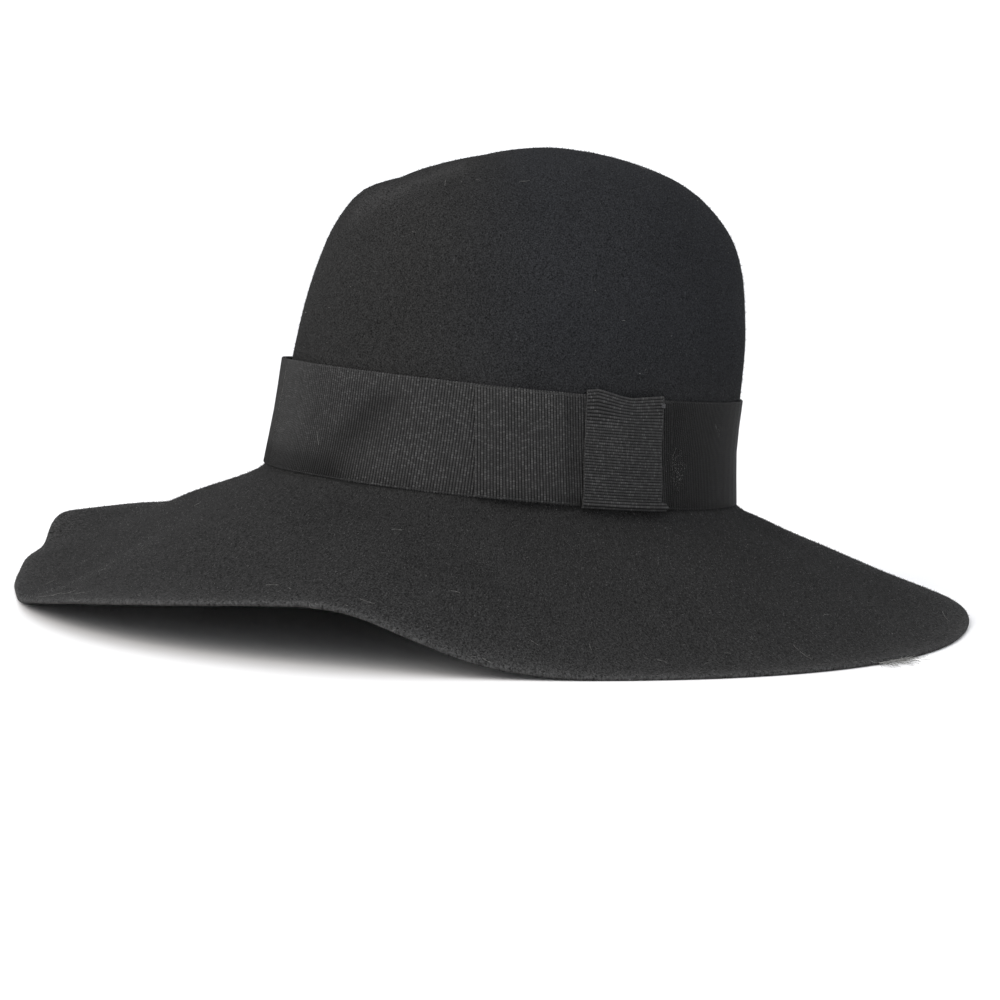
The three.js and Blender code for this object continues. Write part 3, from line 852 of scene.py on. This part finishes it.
def uneven(mesh, settings):
    """Lays the small waves and dents that a worn felt has over the smooth shape, and marks where it
    is rubbed and painted lighter, where a cool cast of painted light lies, how its grain runs and
    where its nap grows."""
    places, facing = positions(mesh), normals(mesh)
    depth = settings.unevenness * np.array([
        noise.fractal(Vector(p) / LARGE_WAVE, 1.0, 2.0, 2)
        + noise.noise(Vector(p) / SMALL_WAVE) * SMALL_SHARE for p in places])
    on_brim = fading(places[:, 2], *BRIM_TO_CROWN)
    for start, end, width, height in BRIM_DENTS:
        ends = np.array([start, end]) * MM
        depth += on_brim * height * MM * near_line(places, *ends, width * MM)
    outside = outer_side(places, facing)
    # The two faces move alike, so the wall keeps its thickness.
    move = facing * (np.where(outside > 0, 1.0, -1.0) * depth)[:, None]
    for middle, width, height in SWELLS:
        share = bell(np.linalg.norm(places - np.array(middle) * MM, axis=1), 0, width * MM)
        outward = ((share * outside)[:, None] * facing).sum(0)
        move += (height * MM * share)[:, None] * outward / np.linalg.norm(outward)
    places += move * smooth(places[:, 2], *LIES_TO_FREE)[:, None]
    mesh.vertices.foreach_set("co", places.ravel())
    mesh.update()
    inset = np.maximum(brim_inset(places), 0)
    rubbed_and_lit = on_brim * (RUBBED_BRIM + sum(
        share * np.exp(-inset / width) for share, width in (RUBBED_LIT_EDGE, RUBBED_LIT_RIM)))
    for start, end in zip(LIT_RUBBED_RIDGE, LIT_RUBBED_RIDGE[1:]):
        rubbed_and_lit = np.maximum(rubbed_and_lit, RIDGE_RUBBED_AND_LIT * near_line(places, start, end, RIDGE_WIDTH))
    set_attribute(mesh, "rubbed_and_lit", rubbed_and_lit)
    azimuth = np.degrees(np.arctan2(places[:, 0], -places[:, 1]))
    set_attribute(mesh, "painted_cool_light", smooth(places[:, 2], *COOL_HEIGHTS)
                  * smooth(azimuth, *COOL_COMES) * fading(azimuth, *COOL_ENDS))
    set_attribute(mesh, "outer", outside)
    # Where the felt's grain is looked up: round the brim it keeps its size at one radius, and
    # outward it is drawn out.
    radius = np.hypot(places[:, 0], places[:, 1])
    turned = places[:, :2] / radius[:, None] * BRUSHED_RADIUS
    brim_grain = np.column_stack([turned, radius / BRUSHED_OUT - places[:, 2] / BRUSHED_DOWN])
    set_attribute(mesh, "brushed", np.where(on_brim[:, None] > 0.5, brim_grain, places))
    above = places[:, 2] > NAP_CHANGE
    set_attribute(mesh, "crown_nap", outside * above)
    set_attribute(mesh, "brim_nap", outside * (places[:, 2] > NAP_BEGINS) * ~above)


def scatter_tree():
    """Scatters small cones over a mesh where a mark is set. Each leans over to a random side and
    turns round itself, and is from half to one and a half times its length."""
    name = "scatter_on_surface"
    if name in bpy.data.node_groups:
        return bpy.data.node_groups[name]
    tree, start = new_tree(name, [
        ("Where", "String"), ("Pieces per square metre", "Float"), ("Length", "Float"),
        ("Foot radius", "Float"), ("Tip radius", "Float"), ("Sides", "Int"), ("Lean", "Float"),
        ("Seed", "Int"), ("Material", "Material")])
    given = start.outputs
    weight = add(tree, "GeometryNodeInputNamedAttribute", {"Name": given["Where"]},
                 data_type="FLOAT")
    points = add(tree, "GeometryNodeDistributePointsOnFaces", {
        "Mesh": given["Geometry"], "Seed": given["Seed"],
        "Density": blend(tree, (weight, given["Pieces per square metre"]))},
        distribute_method="RANDOM")
    shape = add(tree, "GeometryNodeMeshCone", {
        "Vertices": given["Sides"], "Radius Top": given["Tip radius"],
        "Radius Bottom": given["Foot radius"], "Depth": given["Length"]})
    spin = add(tree, "FunctionNodeRandomValue", {
        "Min": (-1.0, -1.0, 0.0), "Max": (1.0, 1.0, 6.28), "Seed": given["Seed"]},
        data_type="FLOAT_VECTOR")
    tilt = add(tree, "ShaderNodeVectorMath", {0: spin, "Scale": given["Lean"]},
               operation="SCALE")
    turned = add(tree, "FunctionNodeRotateEuler", {
        "Rotation": points.outputs["Rotation"], "Rotate By": tilt}, space="LOCAL")
    size = add(tree, "FunctionNodeRandomValue", {2: 0.5, 3: 1.5, "Seed": given["Seed"]},
               data_type="FLOAT")
    placed = add(tree, "GeometryNodeInstanceOnPoints", {
        "Points": points, "Instance": shape, "Rotation": turned, "Scale": size.outputs[1]})
    close_tree(tree, placed.outputs[0], given["Material"])
    return tree


def strand(surface, place, heading, length, bend):
    """A hair that lies on a surface: it sets off from a place at a heading in degrees seen from
    above, and turns by bend on its way."""
    angle = math.radians(heading)
    ahead = Vector((math.cos(angle), math.sin(angle), 0))
    point, facing = surface.find_nearest(place)[:2]
    path = []
    for _ in range(HAIR_STEPS + 1):
        path.append(point + facing * HAIR_LIFT)
        ahead = (ahead - facing * ahead.dot(facing)).normalized()
        ahead.rotate(Matrix.Rotation(math.radians(bend) / HAIR_STEPS, 3, facing))
        point, facing = surface.find_nearest(point + ahead * (length / HAIR_STEPS))[:2]
    return np.array(path)


def tuft(surface, dice, count):
    """Fibres that stick out of the brim's edge just above the floor."""
    paths = []
    for _ in range(count):
        azimuth = math.radians(dice.uniform(TUFT_FROM, TUFT_TO))
        outward = Vector((math.sin(azimuth), -math.cos(azimuth), 0))
        start = surface.find_nearest(outward * TUFT_OUTSIDE + Vector((0, 0, TUFT_UP)))[0]
        outward.rotate(Matrix.Rotation(dice.gauss(0, TUFT_TURN), 3, "Z"))
        length = dice.uniform(*TUFT_LENGTH) * MM
        rise = dice.uniform(*TUFT_RISE) * MM
        curl = Vector((outward.y, -outward.x, 0)) * dice.gauss(0, TUFT_CURL) * MM
        path = [start + outward * length * t + curl * t * t + Vector((0, 0, rise * t * t))
                for t in (0, 0.2, 0.4, 0.6, 0.8, 1)]
        paths.append(np.array([(p.x, p.y, max(p.z, TUFT_CLEAR * MM)) for p in path]))
    return paths


def matted_lint(guide, dice, start, end, spread, count):
    """Specks and short bits of fibre that lie on the ribbon along a line."""
    paths = []
    for _ in range(count):
        t, turn, half = dice.random(), dice.uniform(0, math.pi), dice.uniform(*SPECK_HALF) * MM
        azimuth = start[0] + (end[0] - start[0]) * t + dice.gauss(0, spread) / LENGTH_OF_DEGREE
        up = BAND_FOOT + start[1] + (end[1] - start[1]) * t + dice.gauss(0, spread)
        path = []
        for side in (-half, 0, half):
            hit, aim = guide.probe(azimuth + side * math.cos(turn) / LENGTH_OF_DEGREE,
                                   up + side * math.sin(turn))
            path.append(hit + aim * SPECK_LIFT)
        paths.append(np.array(path))
    return paths


def stray_hairs(surface, mesh, dice, count):
    """Hairs at random places of the hat's outer face, closer together where it is rubbed and painted
    lighter.
    """
    outer = mesh.attributes["outer"].data
    rubbed_and_lit = mesh.attributes["rubbed_and_lit"].data
    paths = []
    while len(paths) < count:
        first = mesh.polygons[dice.randrange(len(mesh.polygons))].vertices[0]
        heading, bend = dice.uniform(0, 360), dice.uniform(-STRAY_BEND, STRAY_BEND)
        length = dice.uniform(*STRAY_LENGTH) * MM
        if outer[first].value > 0.5 and dice.random() < STRAY_SHARE + rubbed_and_lit[first].value:
            place = mesh.vertices[first].co
            if place.z > STRAY_UP:
                paths.append(strand(surface, place, heading, length, bend))
    return paths


# Settings


def hex_property(name, what, default):
    """A colour that a user can set."""
    return bpy.props.StringProperty(
        name=name, description="sRGB hex colour of " + what, default=default)


def length_property(name, description, default, least=0):
    """A size that a user can set. Its default and its least value are given in mm."""
    return bpy.props.FloatProperty(
        name=name, description=description, default=default * MM, min=least * MM, unit="LENGTH")


class FeltSettings(bpy.types.PropertyGroup):
    """Sizes and colours of the felt."""

    colour: hex_property("Felt", "the felt", "#2A2A2A")
    unevenness: length_property("Unevenness", "Height of the small waves in the felt", 0.25)
    nap: hex_property("Crown nap", "the standing fibres on the crown", "#464646")
    brim_nap: hex_property(
        "Brim nap", "the standing fibres on the brim, which is more rubbed", "#585858")
    nap_length: length_property("Nap length", "Length of a standing fibre", 0.75)
    nap_radius: length_property(
        "Nap radius", "Half the width of a standing fibre at its foot", 0.05)
    nap_count: bpy.props.FloatProperty(
        name="Nap density", description="Standing fibres on a square metre",
        default=380000, min=0)
    lint: hex_property("Lint", "hairs and specks of lint", "#7C7C7A")
    hair_radius: length_property("Hair radius", "Half the width of a loose hair", 0.055)
    hair_count: bpy.props.IntProperty(
        name="Stray hairs", description="Loose hairs at random places", default=44, min=0)


class RibbonSettings(bpy.types.PropertyGroup):
    """Sizes and colours of the ribbon."""

    colour: hex_property("Ribbon", "the ribbon", "#3C3C3C")
    thread: hex_property("Thread", "the tack stitches", "#4C4C4E")
    thread_radius: length_property("Thread radius", "Half the width of the sewing thread", 0.15)
    pitch: length_property("Rib pitch", "Distance from rib to rib", 1.15, 0.5)
    rib_radius: length_property("Rib radius", "Radius of the cord in a rib", 0.54)
    rib_rise: length_property("Rib rise", "How far a rib stands out of the sheet", 0.42)
    edge_radius: length_property(
        "Edge cord radius", "Radius of the woven cord along each edge", 0.30)
    edge_tone: bpy.props.FloatProperty(
        name="Edge cord tone", description="How light the edge cord is next to a rib",
        default=0.7, min=0, max=1)
    fold_depth: length_property(
        "Fold depth", "Depth of the crushed diagonal fold in the band", 0.4)


class StageSettings(bpy.types.PropertyGroup):
    """Floor and light."""

    floor: hex_property("Floor", "the floor", "#FDFDFD")
    key: bpy.props.FloatProperty(
        name="Key light", description="Power of the large soft light on the left",
        default=17.5, min=0, unit="POWER")
    room: bpy.props.FloatProperty(
        name="Room light", description="Strength of the room's even light", default=1.22, min=0)
    room_right: bpy.props.FloatProperty(
        name="Room light on the right", description="Its strength at the right of the picture",
        default=0.74, min=0)


# Operators


class FEDORA_OT_felt_body(bpy.types.Operator):
    """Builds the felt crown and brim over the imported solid"""

    bl_idname = "fedora.felt_body"
    bl_label = "Felt body"

    def execute(self, context):
        settings = context.scene.fedora_felt
        mesh = felt_mesh()
        uneven(mesh, settings)
        piece = new_object("felt_hat_body", mesh, wool_felt(settings))
        dress(piece, "wool_felt", "felt_body")
        return {"FINISHED"}


class FEDORA_OT_felt_nap(bpy.types.Operator):
    """Scatters standing fibres on the outer face of the crown and of the brim"""

    bl_idname = "fedora.felt_nap"
    bl_label = "Felt nap"

    def execute(self, context):
        settings = context.scene.fedora_felt
        felt = bpy.data.objects["felt_hat_body"].data
        for nap, colour in zip(NAPS, (settings.nap, settings.brim_nap)):
            name, material, spread, seed, lean, width = nap
            piece = grow(felt.copy(), scatter_tree(), {
                "Where": name, "Pieces per square metre": settings.nap_count,
                "Length": settings.nap_length, "Foot radius": settings.nap_radius * width,
                "Tip radius": 0.0, "Sides": 3, "Lean": lean, "Seed": seed,
                "Material": fibre(material, colour, spread)}, name)
            dress(piece, "wool_felt")
        return {"FINISHED"}


class FEDORA_OT_hat_band(bpy.types.Operator):
    """Lays the ribbed ribbon round the foot of the crown"""

    bl_idname = "fedora.hat_band"
    bl_label = "Hat band"

    def execute(self, context):
        settings = context.scene.fedora_ribbon
        foot, head = BAND_FOOT + BAND_KEEP, BAND_FOOT + RIBBON_WIDTH - BAND_KEEP
        ribbon = Ribbon("hat_band", BAND_LEAN, foot, head - foot, settings, seed=11)

        def fold(azimuth, v):
            return -settings.fold_depth * valley(azimuth, v) * smooth(v, *FOLD_DEEPENS)

        piece = ribbon.cross_ribbed("grosgrain_band", 0, 360, fold, band_painted_shade, closed=True)
        dress(piece, "grosgrain_ribbon", "hat_band")
        return {"FINISHED"}


class FEDORA_OT_flat_bow(bpy.types.Operator):
    """Lays the bow's flat loop and its keeper over the band"""

    bl_idname = "fedora.flat_bow"
    bl_label = "Flat bow"

    def execute(self, context):
        settings = context.scene.fedora_ribbon
        self.loop(settings)
        self.keeper(settings)
        return {"FINISHED"}

    def loop(self, settings):
        foot = BAND_FOOT + LOOP_TRIM + FOOT_KEEP
        head = BAND_FOOT + RIBBON_WIDTH - LOOP_TRIM - FOOT_KEEP
        ribbon = Ribbon("bow_loop", LOOP_LEAN, foot, head - foot, settings, seed=12)
        piece = ribbon.cross_ribbed("flat_bow_loop", LOOP_FROM + EDGE_KEEP, LOOP_TO - EDGE_KEEP,
                                    lambda azimuth, v: 0, ply_painted_shade)
        dress(piece, "grosgrain_ribbon", "bow_loop")

    def keeper(self, settings):
        foot = BAND_FOOT - KEEPER_UNDER + FOOT_KEEP
        height = RIBBON_WIDTH + KEEPER_UNDER - 2 * FOOT_KEEP
        start, end = KEEPER_FROM + EDGE_KEEP, KEEPER_TO - EDGE_KEEP
        steps = np.linspace(KEEPER_FROM, KEEPER_TO, len(KEEPER_OVER))

        def over(azimuth, v):
            """The ribs lie straight, and only the uppermost follow the sagging top edge."""
            return np.interp(azimuth, steps, KEEPER_OVER) * smooth(v, *KEEPER_SAG)

        def across(azimuth):
            return (azimuth - start) / (end - start)

        def packed_lip(v):
            return PACKED_LIP * fading(v, 0, PACKED_LIP_SHARE)

        def lip(azimuth, v):
            """The folded edge at the foot as a narrow roll, in place of the solid's wide one."""
            depth = GROOVE_DEPTH + GROOVE_MORE * smooth(across(azimuth), *GROOVE_DEEPENS)
            groove = depth * MM * bell(v, GROOVE_MIDDLE, GROOVE_WIDTH)
            return ROLL_OUT * bell(v, ROLL_MIDDLE, ROLL_WIDTH) - groove - packed_lip(v)

        def flare(azimuth, v):
            """The roll spreads past the keeper's back end."""
            back = FLARE_BACK * across(azimuth) ** FLARE_BACK_POWER
            front = FLARE_FRONT * (1 - across(azimuth)) ** FLARE_FRONT_POWER
            return fading(v, *FLARE_ENDS) * (back - front) * MM

        def at(depth):
            return lambda azimuth, v: lip(azimuth, v) - depth

        ribbon = Ribbon("bow_keeper", KEEPER_LEAN, foot, height, settings, seed=13, over=over)
        columns = even_azimuths(start, end, KEEPER_COLUMNS)[0]
        rows = np.linspace(0, 1, round(RIBBON_WIDTH / settings.pitch) + 2)
        sheet = sheet_mesh(
            "bow_keeper_sheet", ribbon.grid(columns, rows, at(settings.rib_rise), flare),
            ribbon.grid(columns, rows, lambda a, v: -BACK_DEPTH - packed_lip(v), flare), False)
        ribs = ribbon.grid(columns, rows, at(settings.rib_radius), flare)
        edges = ribbon.grid(columns, rows, at(settings.edge_radius + KEEPER_SINK), flare)
        piece = ribbon.build("flat_bow_keeper", sheet, 0.0, [ribs[:, j] for j in range(len(rows))],
                             [0.0] * len(rows), [edges[0], edges[-1]], False)
        dress(piece, "grosgrain_ribbon", "bow_keeper")


class FEDORA_OT_tack_stitches(bpy.types.Operator):
    """Sews the keeper's upper back corner down with a small tack"""

    bl_idname = "fedora.tack_stitches"
    bl_label = "Tack stitches"

    def execute(self, context):
        settings = context.scene.fedora_ribbon
        keeper, loop = Guide("bow_keeper"), Guide("bow_loop")
        paths = []
        dice = random.Random(21)
        edge = KEEPER_TO + KEEPER_LEAN * TACK_UP / RIBBON_WIDTH
        for k in range(TACK_COUNT):
            up = BAND_FOOT + TACK_UP + (k - TACK_COUNT / 2) * TACK_STEP
            reach, slant = dice.uniform(*TACK_ON_KEEPER), dice.uniform(-TACK_SLANT, TACK_SLANT) * MM
            near, aim = keeper.probe(edge - EDGE_KEEP - reach, up)
            brink = keeper.probe(edge - EDGE_KEEP, up + slant)[0]
            beyond = loop.probe(edge + dice.uniform(*TACK_PAST_KEEPER), up)[0]
            places = (near, near, brink, beyond, beyond)
            paths.append(np.array([
                place + aim * lift * MM for place, lift in zip(places, TACK_LIFTS)]))
        piece = cords("tack_stitches", lines_mesh("tack_lines", paths), settings.thread_radius,
                      CORD_SIDES, sewing_thread(settings.thread))
        dress(piece, "grosgrain_ribbon")
        return {"FINISHED"}


class FEDORA_OT_lint(bpy.types.Operator):
    """Lays loose hairs and specks of lint on the felt and the band"""

    bl_idname = "fedora.lint"
    bl_label = "Lint"

    def execute(self, context):
        settings = context.scene.fedora_felt
        mesh = bpy.data.objects["felt_hat_body"].data
        surface = BVHTree.FromPolygons([v.co for v in mesh.vertices],
                                       [p.vertices[:] for p in mesh.polygons])
        dice = random.Random(31)
        paths = [strand(surface, Vector(place) * MM, heading, length * MM, bend)
                 for place, heading, length, bend in HAIRS]
        paths += tuft(surface, dice, TUFT_COUNT)
        paths += stray_hairs(surface, mesh, dice, settings.hair_count)
        band = Guide("hat_band", "bow_loop")
        for start, end, spread, count in RIBBON_LINT:
            paths += matted_lint(band, dice, start, end, spread, count)
        for (from_azimuth, from_up), (to_azimuth, to_up) in BAND_THREADS:
            paths.append(np.array([
                band.probe(from_azimuth + (to_azimuth - from_azimuth) * t,
                           BAND_FOOT + from_up + (to_up - from_up) * t)[0]
                for t in np.linspace(0, 1, THREAD_POINTS)]))
        material = fibre("lint", settings.lint, 0.5)
        hairs = cords("lint_hairs", lines_mesh("hair_lines", paths), settings.hair_radius,
                      HAIR_SIDES, material)
        dress(hairs, "wool_felt")
        specks = grow(mesh.copy(), scatter_tree(), {
            "Where": "outer", "Pieces per square metre": SPECKS, "Length": SPECK_LENGTH,
            "Foot radius": SPECK_FOOT, "Tip radius": SPECK_TIP, "Sides": 5, "Lean": SPECK_LEAN,
            "Seed": 9, "Material": material}, "lint_specks")
        dress(specks, "wool_felt")
        return {"FINISHED"}


class FEDORA_OT_stage(bpy.types.Operator):
    """Sets the floor, the soft light and the camera"""

    bl_idname = "fedora.stage"
    bl_label = "Stage"

    def execute(self, context):
        settings = context.scene.fedora_stage
        angle = math.radians(CAMERA_AZIMUTH)
        self.to_camera = Vector((math.sin(angle), -math.cos(angle), 0))
        self.aside = Vector((math.cos(angle), math.sin(angle), 0))
        mesh = bmesh.new()
        bmesh.ops.create_circle(mesh, cap_ends=True, segments=FLOOR_SIDES, radius=FLOOR_RADIUS)
        data = bpy.data.meshes.new("floor")
        mesh.to_mesh(data)
        mesh.free()
        floor = new_object("floor", data, studio_board(settings.floor))
        context.scene.view_settings.view_transform = "Standard"
        self.room(context, settings)
        self.key(context, settings)
        self.camera(context)
        return {"FINISHED"}

    def room(self, context, settings):
        """Even white light all round, dimmer from the right of the picture."""
        world = bpy.data.worlds.new("room")
        world.use_nodes = True
        tree = world.node_tree
        tree.nodes.clear()
        toward = add(tree, "ShaderNodeTexCoord").outputs["Generated"]
        rightness = add(tree, "ShaderNodeVectorMath", {0: toward, 1: self.aside},
                        operation="DOT_PRODUCT").outputs["Value"]
        strength = add(tree, "ShaderNodeMapRange", {
            "Value": rightness, "From Min": ROOM_DIMS[0], "From Max": ROOM_DIMS[1],
            "To Min": settings.room, "To Max": settings.room_right},
            interpolation_type="SMOOTHSTEP")
        light = add(tree, "ShaderNodeBackground", {
            "Color": linear(ROOM_COLOUR), "Strength": strength})
        add(tree, "ShaderNodeOutputWorld", {"Surface": light})
        context.scene.world = world

    def key(self, context, settings):
        data = bpy.data.lights.new("key", "AREA")
        data.shape = "DISK"
        data.size = KEY_WIDTH
        data.energy = settings.key
        data.color = linear(KEY_COLOUR)[:3]
        light = bpy.data.objects.new("key", data)
        context.scene.collection.objects.link(light)
        light.location = -self.aside * KEY_LEFT + self.to_camera * KEY_FRONT + Vector((0, 0, KEY_UP))
        look = (Vector((0, 0, KEY_AIM)) - light.location).normalized()
        light.rotation_euler = look.to_track_quat("-Z", "Y").to_euler()

    def camera(self, context):
        place = self.to_camera * CAMERA_DISTANCE + Vector((0, 0, CAMERA_HEIGHT))
        target = self.aside * AIM_ASIDE + Vector((0, 0, AIM_HEIGHT))
        look = (target - place).normalized()
        right = look.cross(Vector((0, 0, 1))).normalized()
        up = right.cross(look)
        roll = math.radians(CAMERA_ROLL)
        right, up = (right * math.cos(roll) + up * math.sin(roll),
                     up * math.cos(roll) - right * math.sin(roll))
        data = bpy.data.cameras.new("camera")
        data.lens = CAMERA_LENS
        data.sensor_width = 36.0
        data.clip_start, data.clip_end = 0.05, 50.0
        camera = bpy.data.objects.new("camera", data)
        context.scene.collection.objects.link(camera)
        turn = Matrix((right, up, -look)).transposed()
        camera.matrix_world = Matrix.Translation(place) @ turn.to_4x4()
        context.scene.camera = camera


class FEDORA_PT_panel(bpy.types.Panel):
    """Lists the hat's pieces and their sizes and colours"""

    bl_idname = "FEDORA_PT_panel"
    bl_label = "Fedora"
    bl_space_type = "VIEW_3D"
    bl_region_type = "UI"
    bl_category = "Fedora"

    def draw(self, context):
        for key in SETTINGS:
            settings = getattr(context.scene, key)
            box = self.layout.box()
            for name in settings.__annotations__:
                box.prop(settings, name)
        for operator in OPERATORS:
            self.layout.operator(operator.bl_idname)


SETTINGS = {"fedora_felt": FeltSettings, "fedora_ribbon": RibbonSettings,
            "fedora_stage": StageSettings}
OPERATORS = (FEDORA_OT_felt_body, FEDORA_OT_felt_nap, FEDORA_OT_hat_band, FEDORA_OT_flat_bow,
             FEDORA_OT_tack_stitches, FEDORA_OT_lint, FEDORA_OT_stage)
CLASSES = (*SETTINGS.values(), *OPERATORS, FEDORA_PT_panel)


def register():
    for cls in CLASSES:
        bpy.utils.register_class(cls)
    for name, cls in SETTINGS.items():
        setattr(bpy.types.Scene, name, bpy.props.PointerProperty(type=cls))


def unregister():
    for name in SETTINGS:
        delattr(bpy.types.Scene, name)
    for cls in reversed(CLASSES):
        bpy.utils.unregister_class(cls)


def main():
    """Builds every piece in order."""
    register()
    bpy.ops.fedora.felt_body()
    bpy.ops.fedora.felt_nap()
    bpy.ops.fedora.hat_band()
    bpy.ops.fedora.flat_bow()
    bpy.ops.fedora.tack_stitches()
    bpy.ops.fedora.lint()
    bpy.ops.fedora.stage()


if __name__ == "__main__":
    main()
